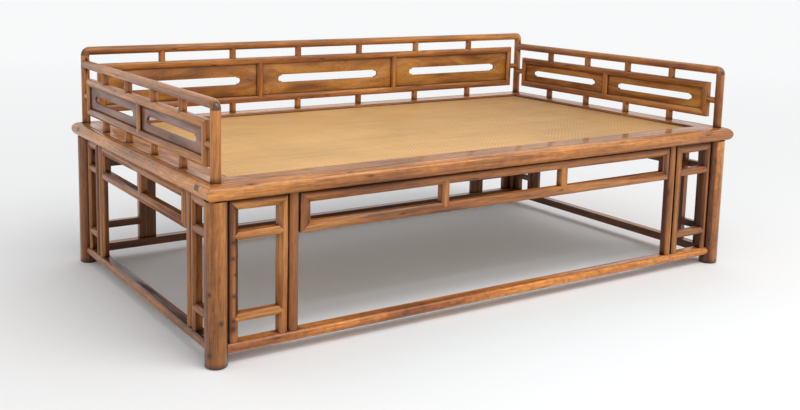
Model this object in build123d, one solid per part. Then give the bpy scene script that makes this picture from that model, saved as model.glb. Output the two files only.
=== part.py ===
from build123d import *

import os

# Luohan daybed: a couch bed of round hardwood members with a woven cane seat and railings on three sides.
# Millimetres. X runs to the sitter's left end to right end, Y from the open front to the back, Z up from the floor.
# The origin is on the floor, under the middle of the seat.

# Seat frame: four rails with a full half-round outer edge, mitred at the corners.
length = 2080.0
depth = 1180.0
seat_height = 506.0
frame_thickness = 47.0
frame_width = 96.0
ledge_width = 14.0
quirk_inset = 0.5
quirk_width = 3.5
quirk_depth = 2.2
frame_tenon_edge = 62.0
frame_tenon_width = 28.0
frame_tenon_thickness = 14.0
frame_tenon_drop = 9.0

# Woven seat: palm webbing, cane mat over it, and strips that clamp both on the ledge of the frame.
webbing_thickness = 4.0
mat_thickness = 2.5
mat_rim_press = 0.5
mat_rim_margin = 2.0
strip_width = 12.0
strip_thickness = 5.0
strip_drop = 3.0

# Cross braces, bowed downwards so that the mat can give.
brace_count = 4
brace_width = 38.0
brace_thickness = 24.0
brace_bow = 10.0
brace_clearance = 6.0
brace_tenon_length = 10.0
brace_tenon_cheek = 5.0

# Legs, and the axis that the legs and the railing posts share.
column_inset = 42.0
leg_diameter = 63.0
foot_chamfer = 4.0
leg_tenon_side = 14.0
leg_tenon_height = 18.0
leg_tenon_offset = 10.0

# Floor stretchers between the legs.
stretcher_rise = 33.0
stretcher_height = 28.0
stretcher_thickness = 40.0
stretcher_setback = 24.0
stretcher_crown = 8.0
stretcher_tenon_thickness = 12.0
stretcher_tenon_height = 20.0
stretcher_tenon_stop = 8.0

# Open frames under the seat: an upright lattice beside each leg, a full post, and a band between the posts.
apron_setback = 30.0
apron_thickness = 26.0
apron_crown = 5.0
apron_top_gap = 4.5
apron_tongue_thickness = 12.0
upright_gap = 3.5
band_member_width = 29.0
window_height = 57.0
lattice_stile_width = 27.0
lattice_bar_width = 25.0
lower_bar_rise = 55.0
long_side_lattice_opening = 124.0
short_side_lattice_opening = 57.0
long_side_windows = 3
short_side_windows = 2
apron_post_width = 34.0
apron_post_crown = 12.0
apron_post_tenon_side = 12.0
apron_post_tenon_length = 10.0
stub_tenon_thickness = 8.0
stub_tenon_cheek = 5.0
stub_tenon_cover = 6.0

# Railings: round top rails and posts, and between them a framed panel held off by short round posts.
back_height = 269.0
side_height = 223.0
pipe_diameter = 29.5
pipe_corner_round = 14.0
panel_gap_below = 34.0
panel_gap_above = 32.0
panel_end_gap = 29.0
panel_member_width = 26.0
panel_member_thickness = 28.0
panel_member_crown = 6.0
panel_thickness = 8.0
panel_groove_depth = 5.0
back_panel_count = 3
side_panel_count = 2
back_slot_height = 30.0
side_slot_height = 24.0
back_slot_margin = 69.0
side_slot_margin = 48.0
slot_shoulder = 4.0
short_post_diameter = 25.0
strut_diameter = 22.5
back_bays = 7
side_bays = 5
seat_tenon_side = 12.0
seat_tenon_length = 10.0
corner_tenon_side = 14.0

# A side railing is lifted by this much to free its running tenons from the back corner posts.
side_lift = 15.0
running_tenon_width = 8.0
running_tenon_height = 11.0
running_tenon_length = 9.0

# Clearances.
lift_clearance = 0.3
panel_float = 0.5

# Levels and faces worked out from the sizes above.
seat_bottom = seat_height - frame_thickness
strip_bottom = seat_height - strip_drop - strip_thickness
mat_top = strip_bottom + mat_rim_press
webbing_top = mat_top - mat_thickness
ledge_level = webbing_top - webbing_thickness
frame_inner = frame_width + ledge_width
leg_radius = leg_diameter / 2
pipe_radius = pipe_diameter / 2
stretcher_top = stretcher_rise + stretcher_height
apron_top = seat_bottom - apron_top_gap
window_top = apron_top - band_member_width
window_bottom = window_top - window_height
band_bottom = window_bottom - band_member_width
panel_bottom = seat_height + panel_gap_below
back_axis = seat_height + back_height - pipe_radius
side_axis = seat_height + side_height - pipe_radius
left_stile_turn = Rot(0, -90, 0)
right_stile_turn = Rot(0, 90, 0)
low_rail_turn = Rot(0, 180, 0)

side_spans = {"front": length, "back": length, "left": depth, "right": depth}

# Placing a side: its own x runs along it, its own y runs inwards from the outer edge of the seat.
side_places = {
    "front": Location((0, -depth / 2, 0), (0, 0, 0)),
    "right": Location((length / 2, 0, 0), (0, 0, 90)),
    "back": Location((0, depth / 2, 0), (0, 0, 180)),
    "left": Location((-length / 2, 0, 0), (0, 0, -90)),
}

# The two ends of each side, first the end at its own negative x.
side_ends = {
    "front": ("left", "right"),
    "right": ("front", "back"),
    "back": ("right", "left"),
    "left": ("back", "front"),
}


def block(x0, x1, y0, y1, z0, z1):
    """A square block between two corners."""
    middle = Pos((x0 + x1) / 2, (y0 + y1) / 2, (z0 + z1) / 2)
    return middle * Box(x1 - x0, y1 - y0, z1 - z0)


def level_prism(points, z0, z1):
    """A block with an outline drawn in plan."""
    return Pos(0, 0, z0) * extrude(make_face(Polyline(*points, close=True)), z1 - z0)


def facing_prism(points, thickness):
    """A block with an outline drawn in the plane of a side, from its front face at y = 0 inwards."""
    plane = Plane(origin=(0, thickness, 0), x_dir=(1, 0, 0), z_dir=(0, -1, 0))
    return extrude(plane * make_face(Polyline(*points, close=True)), thickness)


def round_post(diameter, x, z0, z1):
    """A round member standing in the plane y = 0."""
    return Pos(x, 0, (z0 + z1) / 2) * Cylinder(diameter / 2, z1 - z0)


def round_rail(diameter, x0, x1, z):
    """A round member lying along x in the plane y = 0."""
    return Pos((x0 + x1) / 2, 0, z) * Rot(0, 90, 0) * Cylinder(diameter / 2, x1 - x0)


def node(name, *shapes):
    """Writes one node, with every solid of the shapes given."""
    solids = [solid for shape in shapes for solid in shape.solids()]
    export_step(Compound(solids), os.path.join("parts", name + ".step"))


# Frame members. Each is made lying along x about the origin, with its front face at y = 0.


def member_blank(run, width, thickness, crown, back_crown=0.0):
    """A straight member whose front swells by crown, and its back by back_crown."""
    half = width / 2
    back = thickness - back_crown
    front_edge = ThreePointArc((-half, crown), (0, 0), (half, crown))
    if back_crown:
        back_edge = ThreePointArc((half, back), (0, thickness), (-half, back))
    else:
        back_edge = Line((half, back), (-half, back))
    sides = [Line((half, crown), (half, back)), Line((-half, back), (-half, crown))]
    plane = Plane(origin=(run / 2, 0, 0), x_dir=(0, 0, 1), z_dir=(-1, 0, 0))
    return extrude(plane * make_face([front_edge, sides[0], back_edge, sides[1]]), run)


def mitred_member(run, width, thickness, crown, back_crown=0.0, start_cut=1.0, end_cut=1.0):
    """A frame member with its long edge up, cut at 45 degrees at both ends unless a cut is 0."""
    half = width / 2
    outline = [
        (-run / 2, half),
        (run / 2, half),
        (run / 2 - width * end_cut, -half),
        (-run / 2 + width * start_cut, -half),
    ]
    return member_blank(run, width, thickness, crown, back_crown) & facing_prism(outline, thickness)


def pointed_member(span, width, thickness, crown, socket, back_crown=0.0):
    """A bar with pointed 45-degree shoulders and a stub tenon at each end; span is between the members it joins,
    and socket is the width of those members."""
    half = width / 2
    tip = span / 2 + half
    outline = [
        (-span / 2, half),
        (span / 2, half),
        (tip, 0),
        (span / 2, -half),
        (-span / 2, -half),
        (-tip, 0),
    ]
    bar = member_blank(2 * tip, width, thickness, crown, back_crown) & facing_prism(outline, thickness)
    tenon_tip = span / 2 + socket - stub_tenon_cover
    tenon_half = half - stub_tenon_cheek
    tenon_front = (thickness - stub_tenon_thickness) / 2
    tenon_back = tenon_front + stub_tenon_thickness
    return bar + block(-tenon_tip, tenon_tip, tenon_front, tenon_back, -tenon_half, tenon_half)


# Seat frame


def corner_share(span, reach, z0, z1):
    """The part of a side that is its own, up to the 45-degree mitres at both corners."""
    half = span / 2
    return level_prism([(-half, 0), (half, 0), (half - reach, reach), (-half + reach, reach)], z0, z1)


def seat_rail_blank(span):
    """A seat rail with a half-round outer edge, a fine quirk beside it, and the ledge of the woven seat."""
    radius = frame_thickness / 2
    ledge = ledge_level - seat_bottom - radius
    quirk_start = radius + quirk_inset
    quirk_end = quirk_start + quirk_width
    nose = ThreePointArc((-radius, radius), (0, 0), (radius, radius))
    rest = Polyline(
        (radius, radius),
        (radius, quirk_start),
        (radius - quirk_depth, quirk_start),
        (radius - quirk_depth, quirk_end),
        (radius, quirk_end),
        (radius, frame_width),
        (ledge, frame_width),
        (ledge, frame_inner),
        (-radius, frame_inner),
        (-radius, radius),
    )
    plane = Plane(origin=(span / 2, 0, seat_bottom + radius), x_dir=(0, 0, 1), z_dir=(-1, 0, 0))
    return extrude(plane * make_face([nose, rest]), span)


def seat_rail(span):
    """A seat rail cut to its mitres."""
    return seat_rail_blank(span) & corner_share(span, frame_inner, seat_bottom, seat_height)


def frame_tenon_block(x_end, y_end):
    """The space of one through tenon of a long rail, from the outer face of the short rail inwards."""
    x_in = x_end * (length / 2 - frame_tenon_edge - frame_tenon_width)
    y_out = y_end * (depth / 2 - frame_tenon_edge)
    y_in = y_end * (depth / 2 - frame_tenon_edge - frame_tenon_width)
    top = seat_height - frame_tenon_drop
    xs = sorted((x_end * length / 2, x_in))
    ys = sorted((y_out, y_in))
    return block(xs[0], xs[1], ys[0], ys[1], top - frame_tenon_thickness, top)


def seat_layer(inset, z0, z1):
    """A flat layer of the woven seat that fills the frame, inset from its outer edges."""
    return block(inset - length / 2, length / 2 - inset, inset - depth / 2, depth / 2 - inset, z0, z1)


def woven_mat():
    """The cane mat, pressed thinner where the strips clamp its rim."""
    rim = seat_layer(frame_width, webbing_top, strip_bottom)
    return rim + seat_layer(frame_width + strip_width + mat_rim_margin, strip_bottom, mat_top)


def edge_strip(span):
    """One strip over the edge of the mat, mitred to its neighbours."""
    top = seat_height - strip_drop
    inner = frame_width + strip_width
    strip = block(-span / 2, span / 2, frame_width, inner, strip_bottom, top)
    return strip & corner_share(span, inner, strip_bottom, top)


def cross_brace(x):
    """A brace from front to back under the seat, bowed downwards, tenoned into the long rails."""
    run = depth / 2 - frame_inner
    top = ledge_level - brace_clearance
    bottom = top - brace_thickness
    middle = top - brace_bow
    upper = ThreePointArc((-run, top), (0, middle), (run, top))
    lower = ThreePointArc((run, bottom), (0, middle - brace_thickness), (-run, bottom))
    ends = [Line((run, top), (run, bottom)), Line((-run, bottom), (-run, top))]
    plane = Plane(origin=(x - brace_width / 2, 0, 0), x_dir=(0, 1, 0), z_dir=(1, 0, 0))
    body = extrude(plane * make_face([upper, ends[0], lower, ends[1]]), brace_width)
    half = brace_width / 2 - brace_tenon_cheek
    reach = run + brace_tenon_length
    for end in (-1, 1):
        ys = sorted((end * run, end * reach))
        cheek = brace_tenon_cheek
        body += block(x - half, x + half, ys[0], ys[1], bottom + cheek, top - cheek)
    return body


# Legs and stretchers


def leg(x_end, y_end):
    """A round leg with a chamfered foot and two tenons, one for each seat rail that meets over it."""
    x = x_end * (length / 2 - column_inset)
    y = y_end * (depth / 2 - column_inset)
    shaft = Pos(x, y, seat_bottom / 2) * Cylinder(leg_radius, seat_bottom)
    shaft = chamfer(shaft.edges().sort_by(Axis.Z)[0], foot_chamfer)
    half = leg_tenon_side / 2
    top = seat_bottom + leg_tenon_height
    for dx, dy in ((-leg_tenon_offset, leg_tenon_offset), (leg_tenon_offset, -leg_tenon_offset)):
        tx = x + x_end * dx
        ty = y + y_end * dy
        shaft += block(tx - half, tx + half, ty - half, ty + half, seat_bottom, top)
    return shaft


def stretcher_tenon(span):
    """The bar of both end tenons of a stretcher, which stop short of the middle of the legs."""
    middle = stretcher_rise + stretcher_height / 2
    half_thick = stretcher_tenon_thickness / 2
    half_high = stretcher_tenon_height / 2
    tip = span / 2 - column_inset - stretcher_tenon_stop
    y0 = column_inset - half_thick
    y1 = column_inset + half_thick
    return block(-tip, tip, y0, y1, middle - half_high, middle + half_high)


def stretcher(span):
    """A floor stretcher with hollowed shoulders that fit round the legs, and a tenon into each leg."""
    middle = stretcher_rise + stretcher_height / 2
    leg_x = span / 2 - column_inset
    blank = member_blank(2 * leg_x, stretcher_height, stretcher_thickness, stretcher_crown)
    body = Pos(0, stretcher_setback, middle) * blank
    body = body & corner_share(span, stretcher_setback + stretcher_thickness, stretcher_rise, stretcher_top)
    for x in (-leg_x, leg_x):
        body -= Pos(x, column_inset, middle) * Cylinder(leg_radius, stretcher_height)
    return body + stretcher_tenon(span)


# Open frames under the seat


def apron_member(maker, x, z, turn, *sizes, **options):
    """A member of an open frame, made lying, then turned and moved to its middle at x, z."""
    return Pos(x, apron_setback, z) * turn * maker(*sizes, **options)


def tongue(x0, x1):
    """The tongue along the top of an open frame, which meets the underside of the seat."""
    y0 = apron_setback + (apron_thickness - apron_tongue_thickness) / 2
    return block(x0, x1, y0, y0 + apron_tongue_thickness, apron_top - apron_crown, seat_bottom)


def lattice(x0, opening):
    """An upright lattice beside a leg: two stiles, a mitred top rail, and two pointed bars."""
    width = opening + 2 * lattice_stile_width
    middle = x0 + width / 2
    height = apron_top - stretcher_top
    section = (lattice_stile_width, apron_thickness, apron_crown)
    stile_z = (apron_top + stretcher_top) / 2
    left_x = x0 + lattice_stile_width / 2
    right_x = x0 + width - lattice_stile_width / 2
    left = apron_member(mitred_member, left_x, stile_z, left_stile_turn, height, *section, start_cut=0.0)
    right = apron_member(mitred_member, right_x, stile_z, right_stile_turn, height, *section, end_cut=0.0)
    rail_z = apron_top - lattice_stile_width / 2
    rail = apron_member(mitred_member, middle, rail_z, Pos(), width, *section)
    rail += tongue(x0 + lattice_stile_width, x0 + width - lattice_stile_width)
    bars = []
    bar_levels = (window_bottom - lattice_bar_width / 2, stretcher_top + lower_bar_rise + lattice_bar_width / 2)
    for z in bar_levels:
        sizes = (opening, lattice_bar_width, apron_thickness, apron_crown, lattice_stile_width)
        bars.append(apron_member(pointed_member, middle, z, Pos(), *sizes))
    for bar in bars:
        left -= bar
        right -= bar
    return [left, right, rail, *bars]


def band(half_width, windows):
    """The band under the seat between two posts: a mitred frame with pointed uprights between its windows."""
    section = (band_member_width, apron_thickness, apron_crown)
    height = apron_top - band_bottom
    middle_z = (apron_top + band_bottom) / 2
    stile_x = half_width - band_member_width / 2
    top_z = apron_top - band_member_width / 2
    bottom_z = band_bottom + band_member_width / 2
    width = 2 * half_width
    left = apron_member(mitred_member, -stile_x, middle_z, left_stile_turn, height, *section)
    right = apron_member(mitred_member, stile_x, middle_z, right_stile_turn, height, *section)
    top = apron_member(mitred_member, 0, top_z, Pos(), width, *section)
    bottom = apron_member(mitred_member, 0, bottom_z, low_rail_turn, width, *section)
    top += tongue(band_member_width - half_width, half_width - band_member_width)
    pitch = (width - band_member_width) / windows
    uprights = []
    for index in range(1, windows):
        x = -stile_x + index * pitch
        z = (window_top + window_bottom) / 2
        sizes = (window_height, band_member_width, apron_thickness, apron_crown, band_member_width)
        uprights.append(apron_member(pointed_member, x, z, left_stile_turn, *sizes))
    for bar in uprights:
        top -= bar
        bottom -= bar
    return [left, right, top, bottom, *uprights]


def apron_post(x):
    """A full-height post, rounded outwards, with a stub tenon into the stretcher and one into the seat."""
    run = seat_bottom - stretcher_top
    blank = member_blank(run, apron_post_width, apron_thickness, apron_post_crown)
    body = Pos(x, apron_setback, stretcher_top + run / 2) * left_stile_turn * blank
    half = apron_post_tenon_side / 2
    y = apron_setback + (apron_thickness + apron_post_crown) / 2
    z0 = stretcher_top - apron_post_tenon_length
    z1 = seat_bottom + apron_post_tenon_length
    return body + block(x - half, x + half, y - half, y + half, z0, z1)


# Railings. Each is made in its own plane: x along it, y = 0 in the middle of its round members.


def pipe_corner(x, end, axis_z):
    """The turned end of a round rail over its post: a stub downwards, and a mitred, rounded outer corner."""
    low = axis_z - pipe_radius
    high = axis_z + pipe_radius
    room = 2 * pipe_diameter
    crossing = round_rail(pipe_diameter, x - room, x + room, axis_z) & round_post(pipe_diameter, x, low, high)
    far_x = x + end * room
    corner = crossing & block(*sorted((x, far_x)), -room, room, axis_z, axis_z + room)
    centre_x = x + end * (pipe_radius - pipe_corner_round)
    centre_z = high - pipe_corner_round
    square = block(*sorted((centre_x, far_x)), -room, room, centre_z, axis_z + room)
    rounding = Pos(centre_x, 0, centre_z) * Rot(90, 0, 0) * Cylinder(pipe_corner_round, 2 * room)
    return round_post(pipe_diameter, x, low, axis_z), corner - (square - rounding)


def top_rail(x0, x1, axis_z, turned_ends):
    """A round top rail between x0 and x1, with a pipe corner at each turned end."""
    body = round_rail(pipe_diameter, x0, x1, axis_z)
    for end in turned_ends:
        stub, corner = pipe_corner(x0 if end < 0 else x1, end, axis_z)
        body = body + stub + corner
    return body


def slot_cutter(span, height, thickness):
    """A long slot whose ends step in at a shoulder and finish in a round lobe."""
    lobe_radius = height / 2 - slot_shoulder
    straight = span / 2 - lobe_radius - slot_shoulder
    middle = block(-straight, straight, 0, thickness, -height / 2, height / 2)
    shoulders = block(-straight - slot_shoulder, straight + slot_shoulder, 0, thickness, -lobe_radius, lobe_radius)
    body = middle + shoulders
    for end in (-1, 1):
        x = end * (straight + slot_shoulder)
        body += Pos(x, thickness / 2, 0) * Rot(90, 0, 0) * Cylinder(lobe_radius, thickness)
    return body


def panel_frame(x0, x1, z0, z1, panels, slot_height, slot_margin):
    """A mitred frame with pointed muntins and a slotted panel floating in the grooves of each opening.

    Returns the two rails, the two stiles, the muntins and the panels, from low x to high x."""
    width = panel_member_width
    front = -panel_member_thickness / 2
    section = (width, panel_member_thickness, panel_member_crown, panel_member_crown)
    run = x1 - x0
    height = z1 - z0
    middle_x = (x0 + x1) / 2
    middle_z = (z0 + z1) / 2
    upper = Pos(middle_x, front, z1 - width / 2) * mitred_member(run, *section)
    lower = Pos(middle_x, front, z0 + width / 2) * low_rail_turn * mitred_member(run, *section)
    first = Pos(x0 + width / 2, front, middle_z) * left_stile_turn * mitred_member(height, *section)
    last = Pos(x1 - width / 2, front, middle_z) * right_stile_turn * mitred_member(height, *section)
    pitch = (run - width) / panels
    opening = pitch - width
    inner_height = height - 2 * width
    muntins = []
    for index in range(1, panels):
        x = x0 + width / 2 + index * pitch
        bar = pointed_member(inner_height, *section[:3], width, back_crown=panel_member_crown)
        muntins.append(Pos(x, front, middle_z) * left_stile_turn * bar)
    for muntin in muntins:
        upper -= muntin
        lower -= muntin
    half = panel_thickness / 2
    boards = []
    for index in range(panels):
        x = x0 + width / 2 + (index + 0.5) * pitch
        reach = opening / 2 + panel_groove_depth
        rise = inner_height / 2 + panel_groove_depth
        groove = block(x - reach, x + reach, -half, half, middle_z - rise, middle_z + rise)
        upper -= groove
        lower -= groove
        first -= groove
        last -= groove
        muntins = [muntin - groove for muntin in muntins]
        reach -= panel_float
        rise -= panel_float
        board = block(x - reach, x + reach, -half, half, middle_z - rise, middle_z + rise)
        slot = slot_cutter(opening - 2 * slot_margin, slot_height, panel_thickness)
        boards.append(board - Pos(x, -half, middle_z) * slot)
    return upper, lower, (first, last), muntins, boards


def bay_lines(x0, x1, bays):
    """The places of the short posts that divide a railing into equal bays."""
    return [x0 + (x1 - x0) * index / bays for index in range(1, bays)]


def square_tenon(side, x):
    """A square tenon under a post that stands on the seat."""
    half = side / 2
    return block(x - half, x + half, -half, half, seat_height - seat_tenon_length, seat_height)


def upper_short_post(x, z0, axis_z, frame_rail):
    """A short post from the panel frame up to the top rail, scribed over the frame and hollowed over the rail."""
    post = round_post(short_post_diameter, x, z0 - panel_member_crown, axis_z) - frame_rail
    return post - round_rail(pipe_diameter, x - short_post_diameter, x + short_post_diameter, axis_z)


def lower_short_post(x, frame_rail):
    """A short post from the seat up to the panel frame, scribed over the frame, with a tenon into the seat rail."""
    post = round_post(short_post_diameter, x, seat_height, panel_bottom + panel_member_crown)
    return post - frame_rail + square_tenon(seat_tenon_side, x)


def corner_post(x, axis_z):
    """A round post from the seat to the turned end of a top rail, with a tenon into the seat corner."""
    return round_post(pipe_diameter, x, seat_height, axis_z - pipe_radius) + square_tenon(corner_tenon_side, x)


def strut(post_x, frame_x, z, stile, clearance=0.0):
    """A short round strut from a panel frame to a post, scribed over the frame's stile and hollowed over the post."""
    end = 1 if post_x > frame_x else -1
    body = round_rail(strut_diameter, *sorted((post_x, frame_x - end * panel_member_crown)), z) - stile
    radius = pipe_radius + clearance
    return body - round_post(2 * radius, post_x, z - strut_diameter, z + strut_diameter)


def socket(side, x, y):
    """The space of a post's tenon in the seat frame, clear all round so that the railing lifts out."""
    half = side / 2 + lift_clearance
    depth_down = seat_tenon_length + lift_clearance
    return block(x - half, x + half, y - half, y + half, seat_height - depth_down, seat_height)


# Assembly

os.makedirs("parts", exist_ok=True)

# The posts' axes, from the middle of the bed.
half_x = length / 2 - column_inset
half_y = depth / 2 - column_inset

# Back railing
back_place = Pos(0, half_y, 0)
back_frame_x = half_x - pipe_radius - panel_end_gap
back_frame_top = back_axis - pipe_radius - panel_gap_above
back_bay_lines = bay_lines(-half_x, half_x, back_bays)
back_sizes = (-back_frame_x, back_frame_x, panel_bottom, back_frame_top)
back_upper, back_lower, back_stiles, back_muntins, back_boards = panel_frame(
    *back_sizes, back_panel_count, back_slot_height, back_slot_margin
)
back_uppers = [upper_short_post(x, back_frame_top, back_axis, back_upper) for x in back_bay_lines]
back_lowers = [lower_short_post(x, back_lower) for x in back_bay_lines]
back_strut_z = (panel_bottom + back_frame_top) / 2
back_struts = [
    strut(-half_x, -back_frame_x, back_strut_z, back_stiles[0]),
    strut(half_x, back_frame_x, back_strut_z, back_stiles[1]),
]

# A running tenon slides up a mortise in the back corner post when its side railing is lifted.
running_low = side_axis - pipe_radius + lift_clearance
running_high = running_low + running_tenon_height
mortise_half = running_tenon_width / 2 + lift_clearance
mortise_x = pipe_radius + lift_clearance
back_posts = {}
for name, end in (("left", -1), ("right", 1)):
    post = corner_post(end * half_x, back_axis)
    x0 = end * half_x - mortise_half
    x1 = end * half_x + mortise_half
    y1 = running_tenon_length + lift_clearance - pipe_radius
    high = running_high + side_lift + lift_clearance
    back_posts[name] = post - block(x0, x1, -mortise_x, y1, running_low - lift_clearance, high)

node("back_top_rail", back_place * top_rail(-half_x, half_x, back_axis, (-1, 1)))
for name, post in back_posts.items():
    node("back_post_" + name, back_place * post)
node("back_frame_upper_rail", back_place * back_upper)
node("back_frame_lower_rail", back_place * back_lower)
node("back_frame_stiles", *[back_place * stile for stile in back_stiles])
node("back_muntins", *[back_place * muntin for muntin in back_muntins])
for index, board in enumerate(back_boards, 1):
    node("back_panel_" + str(index), back_place * board)
node("back_upper_short_posts", *[back_place * post for post in back_uppers])
node("back_lower_short_posts", *[back_place * post for post in back_lowers])
node("back_struts", *[back_place * piece for piece in back_struts])

# Side railings
side_frame_x = half_y - pipe_radius - panel_end_gap
side_frame_top = side_axis - pipe_radius - panel_gap_above
side_lines = bay_lines(-half_y, half_y, side_bays)
side_sizes = (-side_frame_x, side_frame_x, panel_bottom, side_frame_top)
side_upper, side_lower, side_stiles, side_muntins, side_boards = panel_frame(
    *side_sizes, side_panel_count, side_slot_height, side_slot_margin
)
clear_radius = pipe_radius + lift_clearance
side_rail = top_rail(-half_y, half_y, side_axis, (-1,))
side_rail -= round_post(2 * clear_radius, half_y, side_axis - pipe_diameter, side_axis + pipe_diameter)
tenon_x0 = half_y - pipe_radius - pipe_radius / 2
tenon_x1 = half_y - pipe_radius + running_tenon_length
tenon_half = running_tenon_width / 2
side_rail += block(tenon_x0, tenon_x1, -tenon_half, tenon_half, running_low, running_high)
side_strut_z = (panel_bottom + side_frame_top) / 2
side_struts = [
    strut(-half_y, -side_frame_x, side_strut_z, side_stiles[0]),
    strut(half_y, side_frame_x, side_strut_z, side_stiles[1], lift_clearance),
]
side_uppers = [upper_short_post(x, side_frame_top, side_axis, side_upper) for x in side_lines]
side_lowers = [lower_short_post(x, side_lower) for x in side_lines]

for name, end in (("left", -1), ("right", 1)):
    place = Location((end * half_x, 0, 0), (0, 0, 90))
    node(name + "_top_rail", place * side_rail)
    node(name + "_front_post", place * corner_post(-half_y, side_axis))
    node(name + "_frame_rails", place * side_upper, place * side_lower)
    node(name + "_frame_uprights", *[place * piece for piece in (*side_stiles, *side_muntins)])
    node(name + "_panels", *[place * board for board in side_boards])
    node(name + "_short_posts", *[place * post for post in (*side_uppers, *side_lowers)])
    node(name + "_struts", *[place * piece for piece in side_struts])

# Seat frame, with the mortises of everything that enters it
seat_rails = {side: side_places[side] * seat_rail(span) for side, span in side_spans.items()}
short_blanks = {side: side_places[side] * seat_rail_blank(side_spans[side]) for side in ("left", "right")}
for short, x_end in (("left", -1), ("right", 1)):
    for long, y_end in (("front", -1), ("back", 1)):
        space = frame_tenon_block(x_end, y_end)
        seat_rails[short] -= space
        seat_rails[long] += space & short_blanks[short]

legs = {}
for x_name, x_end in (("left", -1), ("right", 1)):
    for y_name, y_end in (("front", -1), ("back", 1)):
        legs[y_name + "_" + x_name] = leg(x_end, y_end)
        for side in (x_name, y_name):
            seat_rails[side] -= legs[y_name + "_" + x_name]

for x in back_bay_lines:
    seat_rails["back"] -= socket(seat_tenon_side, x, half_y)
for name, x_end in (("left", -1), ("right", 1)):
    for y in side_lines:
        seat_rails[name] -= socket(seat_tenon_side, x_end * half_x, y)
    for y_name, y_end in (("front", -1), ("back", 1)):
        for side in (name, y_name):
            seat_rails[side] -= socket(corner_tenon_side, x_end * half_x, y_end * half_y)

brace_pitch = (length - 2 * frame_inner) / (brace_count + 1)
braces = [cross_brace(frame_inner - length / 2 + brace_pitch * index) for index in range(1, brace_count + 1)]
for brace in braces:
    seat_rails["front"] -= brace
    seat_rails["back"] -= brace
node("cross_braces", *braces)

node("palm_webbing", seat_layer(frame_width, ledge_level, webbing_top))
node("cane_mat", woven_mat())
node("mat_edge_strips", *[side_places[side] * edge_strip(span) for side, span in side_spans.items()])

# Undercarriage
stretchers = {side: side_places[side] * stretcher(span) for side, span in side_spans.items()}
for name, piece in legs.items():
    for side in name.split("_"):
        piece -= side_places[side] * stretcher_tenon(side_spans[side])
    node("leg_" + name, piece)

for side, span in side_spans.items():
    opening = long_side_lattice_opening if span == length else short_side_lattice_opening
    windows = long_side_windows if span == length else short_side_windows
    place = side_places[side]
    lattice_start = column_inset + leg_radius + upright_gap
    post_start = lattice_start + opening + 2 * lattice_stile_width + upright_gap
    band_start = post_start + apron_post_width + upright_gap
    frames = (lattice(lattice_start - span / 2, opening), lattice(span / 2 - post_start + upright_gap, opening))
    for end_name, pieces in zip(side_ends[side], frames):
        node("lattice_" + side + "_" + end_name, *[place * piece for piece in pieces])
    post_x = span / 2 - post_start - apron_post_width / 2
    posts = [place * apron_post(x) for x in (-post_x, post_x)]
    for post in posts:
        seat_rails[side] -= post
        stretchers[side] -= post
    node("apron_posts_" + side, *posts)
    node("band_" + side, *[place * piece for piece in band(span / 2 - band_start, windows)])
    node("stretcher_" + side, stretchers[side])

for side, rail in seat_rails.items():
    node("seat_rail_" + side, rail)
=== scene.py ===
import math

import bmesh
import bpy
from mathutils import Matrix, Vector


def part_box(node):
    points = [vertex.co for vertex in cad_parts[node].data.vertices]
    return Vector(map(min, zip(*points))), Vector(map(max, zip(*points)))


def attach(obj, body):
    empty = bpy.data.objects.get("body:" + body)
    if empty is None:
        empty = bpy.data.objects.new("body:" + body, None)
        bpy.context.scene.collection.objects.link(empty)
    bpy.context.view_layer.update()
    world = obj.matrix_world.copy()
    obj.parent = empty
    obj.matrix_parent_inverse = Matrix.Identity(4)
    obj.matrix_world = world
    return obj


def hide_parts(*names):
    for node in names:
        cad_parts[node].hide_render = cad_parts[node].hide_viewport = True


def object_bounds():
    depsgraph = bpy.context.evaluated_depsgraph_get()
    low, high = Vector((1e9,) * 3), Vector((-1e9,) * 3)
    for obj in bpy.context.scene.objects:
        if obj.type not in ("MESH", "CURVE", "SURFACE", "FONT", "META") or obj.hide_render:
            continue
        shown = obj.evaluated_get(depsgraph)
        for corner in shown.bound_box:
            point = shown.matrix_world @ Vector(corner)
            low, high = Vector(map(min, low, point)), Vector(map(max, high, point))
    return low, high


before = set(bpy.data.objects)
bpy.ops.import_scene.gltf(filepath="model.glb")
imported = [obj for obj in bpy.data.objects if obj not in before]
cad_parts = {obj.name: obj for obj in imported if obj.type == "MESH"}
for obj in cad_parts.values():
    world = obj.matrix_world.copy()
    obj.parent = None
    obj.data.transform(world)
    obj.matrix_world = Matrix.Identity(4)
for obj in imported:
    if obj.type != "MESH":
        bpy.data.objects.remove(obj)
cad_low, cad_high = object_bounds()
scene = bpy.context.scene


# Legs: four round posts of oily golden-brown hardwood, turned smooth and tenoned into both seat rails.
# The same wood, waxed and not varnished, makes the whole frame, each stick with the grain along it.
# Of the front legs the left one has knots and dents and is painted darker, as painted shade; the right one is
# painted paler, as painted light.
weld_distance = 0.000002
flat_angle = math.radians(1.5)
arris_angle = math.radians(40)
crease_angle = math.radians(28)
shortest_arris = 0.009
rim_sides = 16
end_slope = 0.6
end_index = 3
stick_arris = 0.0009
# How far the painted corner shade, taken as old wax and dust too, reaches.
corner_shade_depth = 0.020
thin_wax = 0.32

ripe_tone = (0.375, 0.134, 0.026, 1.0)
pale_tone = (0.570, 0.240, 0.055, 1.0)
deep_tone = (0.190, 0.058, 0.013, 1.0)
end_tone = (0.135, 0.058, 0.034, 1.0)
end_dark = (0.048, 0.022, 0.014, 1.0)

grain_axes = ("x", "y", "z")


def grey(value):
    return (value, value, value, 1.0)


def fresh_material(name):
    """A new material with its nodes, its links, its shader and the coordinates of the piece that wears it."""
    material = bpy.data.materials.new(name)
    material.use_nodes = True
    nodes, links = material.node_tree.nodes, material.node_tree.links
    return material, nodes, links, nodes["Principled BSDF"], nodes.new("ShaderNodeTexCoord").outputs


def stretched_along(axis, along, across):
    """Scales that draw a pattern out along one axis of the piece."""
    return [along if name == axis else across for name in grain_axes]


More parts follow.
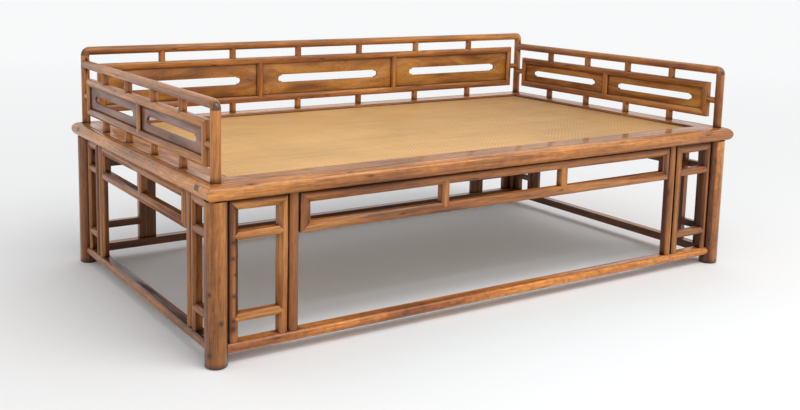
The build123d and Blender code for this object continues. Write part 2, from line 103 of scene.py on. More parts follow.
def scaled_noise(nodes, links, place, scales, detail, distortion):
    """Soft noise over the piece's own coordinates, drawn out by the three scales."""
    mapping = nodes.new("ShaderNodeMapping")
    mapping.inputs["Scale"].default_value = scales
    noise = nodes.new("ShaderNodeTexNoise")
    noise.inputs["Scale"].default_value = 1.0
    noise.inputs["Detail"].default_value = detail
    noise.inputs["Roughness"].default_value = 0.55
    noise.inputs["Distortion"].default_value = distortion
    links.new(place, mapping.inputs["Vector"])
    links.new(mapping.outputs["Vector"], noise.inputs["Vector"])
    return noise.outputs["Fac"]


def colour_steps(nodes, links, factor, steps):
    """A colour ramp whose steps are pairs of position and colour."""
    ramp = nodes.new("ShaderNodeValToRGB")
    while len(ramp.color_ramp.elements) < len(steps):
        ramp.color_ramp.elements.new(0.5)
    for element, (position, colour) in zip(ramp.color_ramp.elements, steps):
        element.position = position
        element.color = colour
    links.new(factor, ramp.inputs["Fac"])
    return ramp.outputs["Color"]


def layered(nodes, links, blend, amount, lower, upper):
    """Two colours laid one over the other."""
    mix = nodes.new("ShaderNodeMix")
    mix.data_type = "RGBA"
    mix.blend_type = blend
    mix.inputs["Factor"].default_value = amount
    links.new(lower, mix.inputs["A"])
    links.new(upper, mix.inputs["B"])
    return mix.outputs["Result"]


def stained(nodes, links, colour, *stains):
    """A colour that takes on several tones, one after the other."""
    for stain in stains:
        colour = layered(nodes, links, "MULTIPLY", 1.0, colour, stain)
    return colour


def reckoned(nodes, links, operation, *terms):
    """One step of arithmetic in a material; each term is a number or an earlier step."""
    step = nodes.new("ShaderNodeMath")
    step.operation = operation
    for socket, term in zip(step.inputs, terms):
        if isinstance(term, (int, float)):
            socket.default_value = term
        else:
            links.new(term, socket)
    return step.outputs["Value"]


def facing(nodes, links, coordinates, way):
    """How far a face looks away from the middle of the bed, or towards it where the way is -1."""
    level = nodes.new("ShaderNodeVectorMath")
    level.operation = "MULTIPLY"
    level.inputs[1].default_value = (way, way, 0.0)
    share = nodes.new("ShaderNodeVectorMath")
    share.operation = "DOT_PRODUCT"
    links.new(coordinates["Normal"], level.inputs[0])
    links.new(level.outputs["Vector"], share.inputs[0])
    links.new(coordinates["Object"], share.inputs[1])
    return share.outputs["Value"]


def with_dirt_and_corner_shade(nodes, links, colour):
    """Old wax and dust, and painted shade, that darken the inner corners and the seams by how closed in each
    place is.
    """
    corner = nodes.new("ShaderNodeAmbientOcclusion")
    corner.samples = 8
    corner.inputs["Distance"].default_value = corner_shade_depth
    corner_shade_steps = [(0.32, (0.12, 0.08, 0.06, 1.0)), (0.66, (0.58, 0.51, 0.47, 1.0)), (0.95, grey(1.0))]
    return stained(nodes, links, colour, colour_steps(nodes, links, corner.outputs["AO"], corner_shade_steps))


def with_height_tone_and_inward_shade(nodes, links, coordinates, colour):
    """Darkens the wood towards the floor and lightens it a little high up; faces that look inwards under the
    seat are darkened most, as painted shade.
    """
    axes = nodes.new("ShaderNodeSeparateXYZ")
    links.new(coordinates["Object"], axes.inputs["Vector"])
    height = axes.outputs["Z"]
    low_steps = [(0.0, (0.84, 0.80, 0.76, 1.0)), (0.46, (0.90, 0.86, 0.82, 1.0))]
    height_tone = colour_steps(nodes, links, height, low_steps + [(0.52, grey(1.0)), (0.80, grey(1.05))])
    # Faces under the seat that look inwards towards the middle of the bed are painted darker: painted shade.
    inward_shade_steps = [(0.04, grey(1.0)), (0.30, (0.40, 0.34, 0.32, 1.0))]
    inward_shade = colour_steps(nodes, links, facing(nodes, links, coordinates, -1.0), inward_shade_steps)
    over_seat = colour_steps(nodes, links, height, [(0.455, grey(0.0)), (0.462, grey(1.0))])
    inward_shade_below_seat = layered(nodes, links, "LIGHTEN", 1.0, inward_shade, over_seat)
    return stained(nodes, links, colour, height_tone, inward_shade_below_seat)


def with_marks(nodes, links, place, colour, marks):
    """Small dark knots and dents, each given by its place on the piece and its size."""
    mark_steps = [(0.15, (0.22, 0.15, 0.12, 1.0)), (0.50, (0.70, 0.63, 0.58, 1.0)), (0.90, grey(1.0))]
    for *spot, reach in marks:
        away = nodes.new("ShaderNodeVectorMath")
        away.operation = "DISTANCE"
        away.inputs[1].default_value = spot
        links.new(place, away.inputs[0])
        near = reckoned(nodes, links, "DIVIDE", away.outputs["Value"], 2 * reach)
        colour = stained(nodes, links, colour, colour_steps(nodes, links, near, mark_steps))
    return colour


def fine_pores(nodes, links, pore):
    """The tone of the wood's pores."""
    return colour_steps(nodes, links, pore, [(0.34, grey(0.80)), (0.50, grey(1.0)), (0.66, grey(1.06))])


def rub_with_wax(shader, wax):
    """A thin film of hard wax over the wood."""
    shader.inputs["Specular IOR Level"].default_value = 0.30
    shader.inputs["Coat Weight"].default_value = wax
    shader.inputs["Coat Roughness"].default_value = 0.12


def waxed_hardwood(axis, marks=(), patches=None, wax=thin_wax):
    """Straight-grained hardwood with dark veins and fine pores, rubbed with wax, its grain along one axis.

    Patches are the steps of tone of a piece that is darker or paler in blotches: rubbed pale on the seat,
    painted light on the front right leg and the front stretcher, painted shade on the front left leg, and
    darker on the left stretcher."""
    material, nodes, links, shader, coordinates = fresh_material("hardwood_along_" + axis)
    place = coordinates["Object"]
    figure = scaled_noise(nodes, links, place, stretched_along(axis, 1.6, 20.0), 4.0, 0.5)
    vein = scaled_noise(nodes, links, place, stretched_along(axis, 3.4, 130.0), 4.0, 0.7)
    fleck = scaled_noise(nodes, links, place, stretched_along(axis, 20.0, 300.0), 2.0, 0.4)
    pore = scaled_noise(nodes, links, place, stretched_along(axis, 26.0, 900.0), 2.0, 0.0)
    patina = scaled_noise(nodes, links, place, (4.3, 4.3, 4.3), 4.0, 0.0)
    body = colour_steps(nodes, links, figure, [(0.30, deep_tone), (0.50, ripe_tone), (0.70, pale_tone)])
    veins = colour_steps(nodes, links, vein, [(0.32, grey(0.56)), (0.46, grey(0.95)), (0.64, grey(1.13))])
    flecks = colour_steps(nodes, links, fleck, [(0.34, grey(0.74)), (0.50, grey(1.0)), (0.66, grey(1.16))])
    shade_steps = [(0.34, (0.80, 0.76, 0.74, 1.0)), (0.50, grey(1.0)), (0.66, (1.08, 1.10, 1.12, 1.0))]
    shade = colour_steps(nodes, links, patina, shade_steps)
    knot_place = nodes.new("ShaderNodeMapping")
    knot_place.inputs["Scale"].default_value = stretched_along(axis, 7.0, 30.0)
    knot = nodes.new("ShaderNodeTexVoronoi")
    knot.inputs["Scale"].default_value = 1.0
    links.new(place, knot_place.inputs["Vector"])
    links.new(knot_place.outputs["Vector"], knot.inputs["Vector"])
    knot_steps = [(0.03, (0.24, 0.16, 0.13, 1.0)), (0.09, (0.72, 0.66, 0.62, 1.0)), (0.15, grey(1.0))]
    knots = colour_steps(nodes, links, knot.outputs["Distance"], knot_steps)
    colour = stained(nodes, links, body, veins, flecks)
    colour = layered(nodes, links, "MULTIPLY", 0.8, colour, fine_pores(nodes, links, pore))
    colour = stained(nodes, links, colour, shade, knots)
    colour = with_height_tone_and_inward_shade(nodes, links, coordinates, colour)
    colour = with_marks(nodes, links, place, colour, marks)
    if patches is not None:
        blotch = scaled_noise(nodes, links, place, (48.0, 48.0, 48.0), 3.0, 0.0)
        colour = stained(nodes, links, colour, colour_steps(nodes, links, blotch, patches))
    links.new(with_dirt_and_corner_shade(nodes, links, colour), shader.inputs["Base Color"])
    polish = colour_steps(nodes, links, vein, [(0.35, grey(0.42)), (0.65, grey(0.30))])
    links.new(polish, shader.inputs["Roughness"])
    rub_with_wax(shader, wax)
    bump = nodes.new("ShaderNodeBump")
    bump.inputs["Strength"].default_value = 0.12
    bump.inputs["Distance"].default_value = 0.0004
    links.new(pore, bump.inputs["Height"])
    links.new(bump.outputs["Normal"], shader.inputs["Normal"])
    return material


def end_grain():
    """The same wood cut across: darker, because it drinks the wax, and dotted with its pores."""
    material, nodes, links, shader, coordinates = fresh_material("hardwood_end_grain")
    pore = scaled_noise(nodes, links, coordinates["Object"], (420.0, 420.0, 420.0), 3.0, 0.0)
    dots = colour_steps(nodes, links, pore, [(0.38, end_dark), (0.62, end_tone)])
    links.new(with_dirt_and_corner_shade(nodes, links, dots), shader.inputs["Base Color"])
    shader.inputs["Roughness"].default_value = 0.32
    shader.inputs["Coat Weight"].default_value = 0.14
    return material


hardwood = [waxed_hardwood(axis) for axis in grain_axes] + [end_grain()]


def longest_way(face):
    """The axis that a face runs along: 0, 1 or 2."""
    spreads = [max(v.co[i] for v in face.verts) - min(v.co[i] for v in face.verts) for i in range(3)]
    return spreads.index(max(spreads))


def eased_mesh(shape, arris, grain):
    """Breaks the sharp arrises of a welded shape and lays the grain of its faces."""
    corners = [
        edge
        for edge in shape.edges
        if len(edge.link_faces) == 2
        and edge.is_convex
        and edge.calc_face_angle() > arris_angle
        and (
            edge.calc_length() > shortest_arris
            or max(len(face.verts) for face in edge.link_faces) > rim_sides
        )
    ]
    for face in shape.faces:
        face.material_index = longest_way(face) if grain is None else grain
    bmesh.ops.bevel(
        shape, geom=corners, offset=arris, offset_type="OFFSET", segments=2, profile=0.5,
        affect="EDGES", clamp_overlap=False, material=-1,
    )


def shown_piece(name, shape, materials):
    """A finished shape as an object of the scene, smooth where it is round and crisp at its creases."""
    mesh = bpy.data.meshes.new(name)
    shape.to_mesh(mesh)
    shape.free()
    mesh.shade_smooth()
    mesh.set_sharp_from_angle(angle=crease_angle)
    for material in materials:
        mesh.materials.append(material)
    piece = bpy.data.objects.new(name, mesh)
    scene.collection.objects.link(piece)
    return piece


def finished_stick(
    node, body, grain=None, ends=None, thin=None, carve=None, arris=stick_arris,
    materials=hardwood,
):
    """A welded copy of a piece with its arrises eased, in wood. Its grain runs along one axis, or without one
    along each face, and where it sticks out past ends on that axis it is cut across the grain. A board, thin
    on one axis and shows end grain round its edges. Carve reshapes the copy before it is eased."""
    shape = bmesh.new()
    shape.from_mesh(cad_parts[node].data)
    bmesh.ops.remove_doubles(shape, verts=shape.verts, dist=weld_distance)
    bmesh.ops.dissolve_limit(
        shape, angle_limit=flat_angle, use_dissolve_boundaries=False, verts=shape.verts, edges=shape.edges,
        delimit={"NORMAL"},
    )
    if carve is not None:
        carve(shape)
    eased_mesh(shape, arris, grain)
    if ends is not None:
        shape.normal_update()
        for face in shape.faces:
            reach, slope = face.calc_center_median()[grain], face.normal[grain]
            if abs(reach) > ends and reach * slope > 0 and abs(slope) > end_slope:
                face.material_index = end_index
    if thin is not None:
        for face in shape.faces:
            if abs(face.normal[thin]) < end_slope:
                face.material_index = end_index
    piece = shown_piece(node + "_wood", shape, materials)
    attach(piece, body)
    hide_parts(node)


leg_marks = [
    (-1.0251, -0.5640, 0.209, 0.006),
    (-0.9962, -0.5794, 0.129, 0.007),
    (-1.0251, -0.5640, 0.040, 0.008),
]
# The front left leg is painted darker in blotches, as painted shade; the front right leg paler, as painted
# light.
leg_painted_shade_patches = [(0.35, grey(0.78)), (0.65, grey(1.0))]
leg_painted_light_patches = [(0.35, grey(1.05)), (0.65, grey(1.50))]
leg_wood = {
    "front_left": hardwood[:2] + [waxed_hardwood("z", leg_marks, leg_painted_shade_patches)],
    "front_right": hardwood[:2] + [waxed_hardwood("z", patches=leg_painted_light_patches)],
}
for corner in ("front_left", "front_right", "back_left", "back_right"):
    finished_stick("leg_" + corner, "bed_base", grain=2, materials=leg_wood.get(corner, hardwood))


# Floor stretchers: four low rails that tie the legs just above the floor, slightly domed on top.
# Each end is hollowed to fit round its leg and tenoned into it. The front one is painted paler, as painted
# light, and the left one is darker in blotches and has split along its top.
run_of_side = {"front": 0, "back": 0, "left": 1, "right": 1}
split_lines = [(-0.9950, -0.0060, 0.0028), (-0.9900, 0.0290, 0.0060)]
split_wander = 0.006
# The left stretcher is made darker in blotches; the front one is painted paler, as painted light.
darker_patches = [(0.35, grey(0.66)), (0.65, grey(0.94))]
stretcher_painted_light_patches = [(0.34, grey(1.20)), (0.50, (1.66, 1.64, 1.42, 1.0)), (0.66, (1.90, 1.86, 1.55, 1.0))]


def split_hardwood(lines):
    """Hardwood along y with long dark cracks; a line has its place at y = 0, its slope and half its width."""
    material = waxed_hardwood("y", patches=darker_patches)
    nodes, links = material.node_tree.nodes, material.node_tree.links
    base = nodes["Principled BSDF"].inputs["Base Color"]
    colour = base.links[0].from_socket
    place = nodes["Texture Coordinate"].outputs["Object"]
    axes = nodes.new("ShaderNodeSeparateXYZ")
    links.new(place, axes.inputs["Vector"])
    wander = scaled_noise(nodes, links, place, (0.0, 9.0, 0.0), 2.0, 0.0)
    for start, slope, half_width in lines:
        straight = reckoned(
            nodes, links, "MULTIPLY_ADD", axes.outputs["Y"], slope, start - split_wander / 2
        )
        line = reckoned(nodes, links, "MULTIPLY_ADD", wander, split_wander, straight)
        offset = reckoned(nodes, links, "SUBTRACT", axes.outputs["X"], line)
        away = reckoned(nodes, links, "ABSOLUTE", offset)
        near = reckoned(nodes, links, "DIVIDE", away, 4 * half_width)
        crack = colour_steps(nodes, links, near, [(0.20, (0.16, 0.11, 0.09, 1.0)), (0.45, grey(1.0))])
        colour = stained(nodes, links, colour, crack)
    links.new(colour, base)
    return material


stretcher_wood = {
    "front": [waxed_hardwood("x", patches=stretcher_painted_light_patches)],
    "left": [hardwood[0], split_hardwood(split_lines)],
}
for side, run in run_of_side.items():
    finished_stick(
        "stretcher_" + side, "bed_base", grain=run, materials=stretcher_wood.get(side, hardwood)
    )


# Seat frame: four wide rails with a half-round outer edge and a fine quirk along it, mitred at the corners.
# The long rails' tenons come through the short rails and show as end grain outside.
# Sitters have rubbed its wood pale and burnished its wax.
seat_nose = 0.025
burnished_wax = 0.40
seat_patches = [(0.35, (1.16, 1.18, 1.18, 1.0)), (0.65, (1.42, 1.48, 1.48, 1.0))]
seat_wood = [waxed_hardwood(axis, patches=seat_patches, wax=burnished_wax) for axis in grain_axes]
for side, run in run_of_side.items():
    finished_stick(
        "seat_rail_" + side, "bed_base", grain=run, ends=cad_high[run] - seat_nose,
        materials=seat_wood + [hardwood[end_index]],
    )


# Cross braces: four bars bowed downwards under the seat, tenoned into the long rails,
# so that the woven seat can give without touching them.
finished_stick("cross_braces", "bed_base", grain=1)


# Webbing: a net of twisted palm-fibre cords, strung both ways and pegged into the frame's ledge
# under the mat. It carries the weight, and it shows only from below.
cord_pitch = 0.014
cord_radius = 0.00095
cord_sides = 6
palm_tone = (0.235, 0.140, 0.070, 1.0)
palm_dark = (0.120, 0.066, 0.032, 1.0)

palm, palm_nodes, palm_links, palm_shader, palm_coordinates = fresh_material("palm_fibre")
palm_twist = scaled_noise(
    palm_nodes, palm_links, palm_coordinates["Object"], (260.0, 260.0, 260.0), 2.0, 0.0
)
palm_colour = colour_steps(palm_nodes, palm_links, palm_twist, [(0.35, palm_dark), (0.65, palm_tone)])
palm_links.new(palm_colour, palm_shader.inputs["Base Color"])
palm_shader.inputs["Roughness"].default_value = 0.85

web_low, web_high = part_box("palm_webbing")


def strung_cords(shape, axis, level):
    """Straight cords along one axis of the webbing, side by side over the whole of the other."""
    other = 1 - axis
    half_width = (web_high[other] - web_low[other]) / 2 - cord_pitch / 2
    count = int(2 * half_width / cord_pitch)
    turn = Matrix.Rotation(math.pi / 2, 4, "Y" if axis == 0 else "X")
    for index in range(count + 1):
        centre = [0.0, 0.0, level]
        centre[other] = -half_width + 2 * half_width * index / count
        bmesh.ops.create_cone(
            shape, cap_ends=True, segments=cord_sides, radius1=cord_radius, radius2=cord_radius,
            depth=web_high[axis] - web_low[axis], matrix=Matrix.Translation(centre) @ turn,
        )


net = bmesh.new()
strung_cords(net, 0, web_high.z - cord_radius)
strung_cords(net, 1, web_high.z - 3 * cord_radius)
webbing = shown_piece("palm_cords", net, [palm])
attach(webbing, "bed_base")
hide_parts("palm_webbing")


# Mat: split cane woven in a fine twill whose diagonals turn back on themselves in broad bands,
# stretched over the webbing and clamped at its rim under the wooden strips.
# It is painted lighter at the left end and darker and browner at the right, as painted light and painted
# shade.
cane_tone = (0.755, 0.440, 0.154, 1.0)
# The gap and edge tones paint shade into the weave: each strand darker towards its edges and darkest in the
# gaps.
cane_edge_shade = (0.655, 0.366, 0.125, 1.0)
cane_gap_shade = (0.460, 0.237, 0.078, 1.0)
# Painted light at the mat's left end and painted shade at its right end.
cane_painted_light = (1.07, 1.07, 1.06, 1.0)
cane_painted_shade = (0.72, 0.685, 0.66, 1.0)
strand_pitch = 0.0040
band_width = 0.155
twill_repeat = 4.0
strands_over = 1.5
past_the_edge = 2.0
mat_cells = 40

cane, cane_nodes, cane_links, cane_shader, cane_coordinates = fresh_material("cane")
cane_place = cane_coordinates["Object"]
cane_axes = cane_nodes.new("ShaderNodeSeparateXYZ")
cane_links.new(cane_place, cane_axes.inputs["Vector"])


def weave(operation, *terms):
    """One step of arithmetic in the cane."""
    return reckoned(cane_nodes, cane_links, operation, *terms)


def strand_count(axis):
    """How many strands lie between a place and a line well past the mat's edge, along one axis."""
    return weave("DIVIDE", weave("ADD", cane_axes.outputs[axis], past_the_edge), strand_pitch)


def strand_back(count):
    """How high a strand's rounded back stands at a place: highest at its middle."""
    return weave("SUBTRACT", 1.0, weave("ABSOLUTE", weave("SUBTRACT", weave("FRACT", count), 0.5)))


def turned_band(count):
    """The strand's number, counted up and back down from band to band."""
    return weave("FLOOR", weave("PINGPONG", count, band_width / strand_pitch))


def cane_noise(scales, detail, distortion):
    return scaled_noise(cane_nodes, cane_links, cane_place, scales, detail, distortion)


def cane_steps(factor, steps):
    return colour_steps(cane_nodes, cane_links, factor, steps)


# Two over and two under, stepping one strand at a time.
strand_x, strand_y = strand_count("X"), strand_count("Y")
twill = weave("MODULO", weave("ADD", turned_band(strand_x), turned_band(strand_y)), twill_repeat)
over = weave("LESS_THAN", twill, strands_over)
crossing = weave("MULTIPLY", weave("SUBTRACT", 1.0, over), strand_back(strand_y))
strand = weave("ADD", weave("MULTIPLY", over, strand_back(strand_x)), crossing)
relief = weave("POWER", weave("MULTIPLY", weave("SUBTRACT", strand, 0.5), 2.0), 0.5)
lengthways = weave("ADD", weave("MULTIPLY", cane_axes.outputs["X"], 0.5), 0.5)
aged_steps = [(0.32, grey(0.86)), (0.50, grey(0.99)), (0.66, grey(1.06))]
cane_colour = stained(
    cane_nodes, cane_links,
    # Painted shade: darker down the sides of each rounded strand and in the gaps.
    cane_steps(relief, [(0.0, cane_gap_shade), (0.45, cane_edge_shade), (0.85, cane_tone)]),
    cane_steps(cane_noise((2.2, 3.4, 3.0), 4.0, 0.3), aged_steps),
    cane_steps(cane_noise((5.0, 170.0, 3.0), 2.0, 0.0), [(0.32, grey(0.89)), (0.68, grey(1.09))]),
    cane_steps(cane_noise((170.0, 5.0, 3.0), 2.0, 0.0), [(0.30, grey(0.95)), (0.70, grey(1.05))]),
    # Painted sheen: the strands of one direction are lighter where they lie on top, those of the other
    # direction darker.
    cane_steps(over, [(0.0, grey(0.91)), (1.0, grey(1.05))]),
    # Painted light towards the left end, painted shade towards the right end.
    cane_steps(lengthways, [(0.0, cane_painted_light), (0.45, grey(1.0)), (1.0, cane_painted_shade)]),
)
cane_links.new(cane_colour, cane_shader.inputs["Base Color"])
cane_shader.inputs["Roughness"].default_value = 0.55
cane_bump = cane_nodes.new("ShaderNodeBump")
cane_bump.inputs["Strength"].default_value = 0.35
cane_bump.inputs["Distance"].default_value = 0.0006
cane_links.new(relief, cane_bump.inputs["Height"])
cane_links.new(cane_bump.outputs["Normal"], cane_shader.inputs["Normal"])

mat_low, mat_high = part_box("cane_mat")
mat_width = mat_high.x - mat_low.x
mat_depth = mat_high.y - mat_low.y
cloth = bmesh.new()
bmesh.ops.create_grid(
    cloth, x_segments=mat_cells, y_segments=mat_cells // 2, size=0.5,
    matrix=Matrix.Translation((0, 0, mat_high.z)) @ Matrix.Diagonal((mat_width, mat_depth, 1, 1)),
)
woven = shown_piece("woven_mat", cloth, [cane])
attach(woven, "bed_base")
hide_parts("cane_mat")


# Edge strips: four thin battens of the same hardwood, mitred at the corners
# and pinned down on the frame's ledge over the rim of the mat.
strip_arris = 0.0006
finished_stick("mat_edge_strips", "bed_base", arris=strip_arris)


# Open frames under the seat: beside each leg an upright lattice of two stiles and crossing bars,
# domed outwards, whose bars meet the stiles in pointed shoulders.
# The one at the front left is the most knocked about, low on its outer stile.
stile_x, stile_y = -0.950, -0.560
stile_marks = [
    (stile_x + aside, stile_y, height, size)
    for aside, height, size in (
        (0.0, 0.341, 0.008), (-0.003, 0.296, 0.006), (0.003, 0.251, 0.004),
        (0.0, 0.191, 0.006), (-0.002, 0.122, 0.008), (-0.003, 0.100, 0.012),
    )
]
lattice_wood = {"front_left": hardwood[:2] + [waxed_hardwood("z", stile_marks)]}
for lattice in (
    "front_left", "front_right", "back_left", "back_right",
    "left_front", "left_back", "right_front", "right_back",
):
    finished_stick("lattice_" + lattice, "bed_base", materials=lattice_wood.get(lattice, hardwood))


# Posts and bands: a full-height post stands against each lattice, and between the two posts of a side
# hangs a band with a row of open windows.
for side in run_of_side:
    finished_stick("apron_posts_" + side, "bed_base", grain=2)
    finished_stick("band_" + side, "bed_base")


# Back railing: round posts and a pipe-like top rail with turned-down corners, joined by short posts and
# struts to a flat frame that hangs between them.
post_inset = 0.042
pipe_bend = 0.0149
bend_steps = 9
bend_weld = 0.00005
rail_x = cad_high.x - post_inset
rail_y = cad_high.y - post_inset


def turn_down(shape, axis, end):
    """Carves the turned-down end of a round rail as a full bend: its ring of corners is swept down."""
    other = 1 - axis
    wide = [vert.co[other] for vert in shape.verts]
    ring_plane = Vector((0.0, 0.0, 0.0))
    ring_plane[axis] = math.copysign(1.0, end)
    centre = Vector((0.0, 0.0, 0.0))
    centre[axis] = end - math.copysign(pipe_bend, end)
    centre[other] = (max(wide) + min(wide)) / 2
    centre.z = max(vert.co.z for vert in shape.verts) - (max(wide) - min(wide)) / 2 - pipe_bend
    everything = shape.verts[:] + shape.edges[:] + shape.faces[:]
    cut = bmesh.ops.bisect_plane(
        shape, geom=everything, plane_co=centre, plane_no=ring_plane, dist=weld_distance, clear_outer=True,
    )
    ring = [piece for piece in cut["geom_cut"] if isinstance(piece, bmesh.types.BMEdge)]
    swept = bmesh.ops.spin(
        shape, geom=ring, cent=centre, axis=Vector((0.0, 0.0, 1.0)).cross(ring_plane),
        angle=math.pi / 2, steps=bend_steps, space=Matrix(),
    )
    rim = [piece for piece in swept["geom_last"] if isinstance(piece, bmesh.types.BMEdge)]
    bmesh.ops.edgeloop_fill(shape, edges=rim)
    bmesh.ops.remove_doubles(shape, verts=shape.verts, dist=bend_weld)
    bmesh.ops.recalc_face_normals(shape, faces=shape.faces)


def carve_back_rail(shape):
    """Both ends of the back's top rail are turned down on their posts."""
    for end in (rail_x, -rail_x):
        turn_down(shape, 0, end)


finished_stick("back_top_rail", "back_railing", grain=0, ends=rail_x, carve=carve_back_rail)
for stick in ("back_struts", "back_frame_upper_rail", "back_frame_lower_rail"):
    finished_stick(stick, "back_railing", grain=0)
for stick in (
    "back_post_left", "back_post_right", "back_upper_short_posts", "back_lower_short_posts",
    "back_frame_stiles", "back_muntins",
):
    finished_stick(stick, "back_railing", grain=2)


# Panels: boards sawn through a burl, with a swirling figure and a long lobed slot, floating in the grooves of
# their frame. Their outer faces are painted darker and bluer, as painted shade.
swirl_pale = (0.531, 0.236, 0.047, 1.0)
swirl_ripe = (0.383, 0.149, 0.025, 1.0)
swirl_deep = (0.216, 0.074, 0.013, 1.0)
swirl_painted_shade = (0.56, 0.45, 0.90, 1.0)
swirl_ring = 0.020


def figured_hardwood(axis):
    """The same wood with rings of grain that swirl along one axis."""
    material, nodes, links, shader, coordinates = fresh_material("figured_wood_along_" + axis)
    place = coordinates["Object"]
    swirl = scaled_noise(nodes, links, place, stretched_along(axis, 2.6, 12.0), 2.5, 1.6)
    rings = reckoned(nodes, links, "PINGPONG", swirl, swirl_ring)
    ring_steps = [(0.0, grey(0.74)), (0.008, grey(0.96)), (0.02, grey(1.06))]
    ring_tone = colour_steps(nodes, links, rings, ring_steps)
    body = colour_steps(nodes, links, swirl, [(0.34, swirl_deep), (0.50, swirl_ripe), (0.66, swirl_pale)])
    pore = scaled_noise(nodes, links, place, stretched_along(axis, 22.0, 700.0), 2.0, 0.0)
    colour = stained(nodes, links, body, ring_tone)
    colour = layered(nodes, links, "MULTIPLY", 0.8, colour, fine_pores(nodes, links, pore))
    # Faces that look outwards are painted darker and bluer: painted shade.
    outward = facing(nodes, links, coordinates, 1.0)
    outer_painted_shade = colour_steps(nodes, links, outward, [(0.04, grey(1.0)), (0.30, swirl_painted_shade)])
    colour = stained(nodes, links, colour, outer_painted_shade)
    links.new(with_dirt_and_corner_shade(nodes, links, colour), shader.inputs["Base Color"])
    shader.inputs["Roughness"].default_value = 0.36
    rub_with_wax(shader, thin_wax)
    return material


figured = [figured_hardwood(axis) for axis in grain_axes] + [hardwood[end_index]]
for index in range(1, 4):
    finished_stick(
        "back_panel_%d" % index, "back_railing", grain=0, thin=1, materials=figured
    )


# Side railings: the same work as the back, lower and with two panels each. The rear end of each top rail
# runs in a mortise of the back's corner post.
def carve_side_rail(shape):
    """The front end of a side's top rail is turned down on its post."""
    turn_down(shape, 1, -rail_y)


for side in ("left", "right"):
    body = side + "_railing"
    finished_stick(side + "_top_rail", body, grain=1, ends=rail_y, carve=carve_side_rail)
    for stick in ("frame_rails", "struts"):
        finished_stick(side + "_" + stick, body, grain=1)
    for stick in ("front_post", "frame_uprights", "short_posts"):
        finished_stick(side + "_" + stick, body, grain=2)
    finished_stick(side + "_panels", body, grain=1, thin=0, materials=figured)


# Studio: a plain floor of pale paper without a horizon, painted a little brighter and bluer under the bed as
# painted light against the shadow and the warm light bounced from the wood, a broad soft key from the front
# right, a strip lamp over the front, and a sky that is brighter towards the horizon.
# Painted light: under the bed the paper is brighter and bluer, against the shadow and the wood's warm bounce.
floor_painted_under_bed = (0.90, 0.97, 1.0, 1.0)
floor_near = (0.90, 0.90, 0.90, 1.0)
floor_far = (1.0, 1.0, 1.0, 1.0)
floor_reach = 10.0
floor_half = 60.0
wall_light = [(0.0, (1.0, 1.0, 1.0, 1.0)), (0.22, (0.98, 0.99, 1.0, 1.0)), (0.65, (0.57, 0.58, 0.59, 1.0))]
wall_strength = 1.12
backdrop_tone = (0.95, 0.95, 0.95, 1.0)
key_toward = (-0.35, 0.80, -1.15)
key_spread = math.radians(45)
key_strength = 0.80
key_tone = (1.0, 0.985, 0.96)
strip_size = (3.6, 0.5)
strip_place = (0.5, -2.0, 2.5)
strip_watts = 26.0

paper, paper_nodes, paper_links, paper_shader, paper_coordinates = fresh_material("paper_floor")
from_bed = paper_nodes.new("ShaderNodeVectorMath")
from_bed.operation = "LENGTH"
paper_links.new(paper_coordinates["Object"], from_bed.inputs[0])
paper_share = reckoned(paper_nodes, paper_links, "DIVIDE", from_bed.outputs["Value"], floor_reach)
paper_steps = [(0.0, floor_painted_under_bed), (0.14, floor_near), (0.8, floor_far)]
paper_tone = colour_steps(paper_nodes, paper_links, paper_share, paper_steps)
paper_links.new(paper_tone, paper_shader.inputs["Base Color"])
paper_shader.inputs["Roughness"].default_value = 0.9
paper_shader.inputs["Specular IOR Level"].default_value = 0.0
ground = bmesh.new()
bmesh.ops.create_grid(ground, x_segments=1, y_segments=1, size=floor_half)
floor = shown_piece("floor", ground, [paper])

sky = bpy.data.worlds.new("studio")
scene.world = sky
sky.use_nodes = True
sky_nodes, sky_links = sky.node_tree.nodes, sky.node_tree.links
sky_light = sky_nodes["Background"]
sky_toward = sky_nodes.new("ShaderNodeTexCoord").outputs["Generated"]
sky_axes = sky_nodes.new("ShaderNodeSeparateXYZ")
sky_links.new(sky_toward, sky_axes.inputs["Vector"])
sky_tone = colour_steps(sky_nodes, sky_links, sky_axes.outputs["Z"], wall_light)
sky_links.new(sky_tone, sky_light.inputs["Color"])
sky_light.inputs["Strength"].default_value = wall_strength
sky_seen = sky_nodes.new("ShaderNodeBackground")
sky_seen.inputs["Color"].default_value = backdrop_tone
ray = sky_nodes.new("ShaderNodeLightPath").outputs
seen = reckoned(sky_nodes, sky_links, "MAXIMUM", ray["Is Camera Ray"], ray["Is Glossy Ray"])
seen = reckoned(sky_nodes, sky_links, "MAXIMUM", seen, ray["Is Transmission Ray"])
chosen = sky_nodes.new("ShaderNodeMixShader")
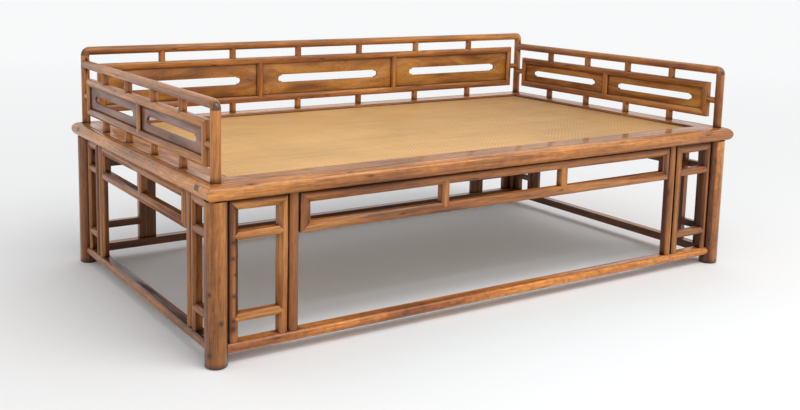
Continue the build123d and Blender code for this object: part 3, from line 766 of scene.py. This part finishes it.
sky_links.new(seen, chosen.inputs["Fac"])
sky_links.new(sky_light.outputs["Background"], chosen.inputs[1])
sky_links.new(sky_seen.outputs["Background"], chosen.inputs[2])
sky_links.new(chosen.outputs["Shader"], sky_nodes["World Output"].inputs["Surface"])

key = bpy.data.lights.new("key", "SUN")
key.energy = key_strength
key.angle = key_spread
key.color = key_tone
key_lamp = bpy.data.objects.new("key", key)
key_lamp.rotation_mode = "QUATERNION"
key_lamp.rotation_quaternion = Vector(key_toward).to_track_quat("-Z", "Y")
scene.collection.objects.link(key_lamp)

strip = bpy.data.lights.new("overhead", "AREA")
strip.shape = "RECTANGLE"
strip.size, strip.size_y = strip_size
strip.energy = strip_watts
strip_lamp = bpy.data.objects.new("overhead", strip)
strip_lamp.location = strip_place
scene.collection.objects.link(strip_lamp)


# Camera: a long look from the front left corner, a little above the railings. Its lens is given by the focal
# length and the middle of the view in a picture of 800 by 410.
picture_width = 800.0
picture_middle = (400.0, 205.0)
sensor_width = 36.0
focal_pixels = 1004.058
centre_column = 337.35
centre_row = 109.0
camera_place = Vector((-2.073581, -2.910895, 1.087787))
yaw, pitch, roll = (math.radians(angle) for angle in (31.469, 8.416, 0.870))

forward = Vector((math.sin(yaw) * math.cos(pitch), math.cos(yaw) * math.cos(pitch), -math.sin(pitch)))
level_right = Vector((math.cos(yaw), -math.sin(yaw), 0.0))
level_up = level_right.cross(forward)
right = math.cos(roll) * level_right + math.sin(roll) * level_up
up = -math.sin(roll) * level_right + math.cos(roll) * level_up
camera_data = bpy.data.cameras.new("camera")
camera_data.sensor_width = sensor_width
camera_data.lens = focal_pixels * sensor_width / picture_width
camera_data.shift_x = (picture_middle[0] - centre_column) / picture_width
camera_data.shift_y = (centre_row - picture_middle[1]) / picture_width
camera = bpy.data.objects.new("camera", camera_data)
camera.matrix_world = Matrix.Translation(camera_place) @ Matrix((right, up, -forward)).transposed().to_4x4()
scene.collection.objects.link(camera)
scene.camera = camera

scene.view_settings.view_transform = "Standard"
